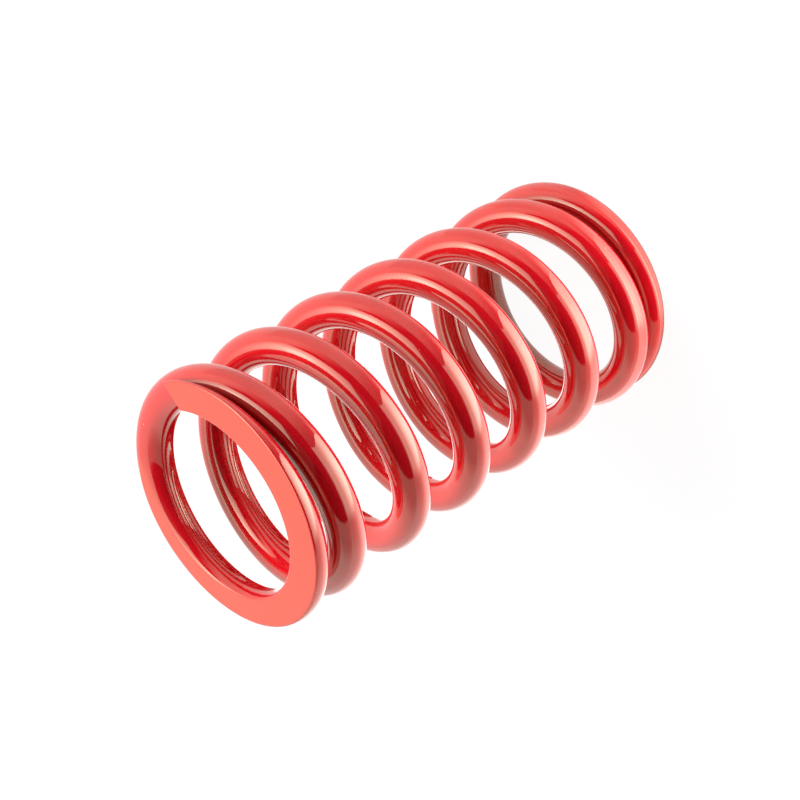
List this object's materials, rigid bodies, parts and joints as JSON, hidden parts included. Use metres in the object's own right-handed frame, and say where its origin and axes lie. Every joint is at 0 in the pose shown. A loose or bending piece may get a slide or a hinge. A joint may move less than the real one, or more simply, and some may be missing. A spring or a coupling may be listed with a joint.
{
  "type": "coilover spring",
  "caption": "Helical compression spring of round wire for a coilover damper, with closed, flat-ground ends and a glossy coating.",
  "frame": {"origin": "centre of the lower ground face, on the coil axis; the spring stands on this face", "axes": "+Z along the coil axis from one ground end to the other; +X points from the axis to the tip of the wire at the lower end"},
  "size_m": [0.0882, 0.0882, 0.1778],
  "materials": {
    "gloss_coat": "gloss powder coat"
  },
  "bodies": {
    "root": {"coil_spring": "gloss_coat"}
  },
  "joints": []
}
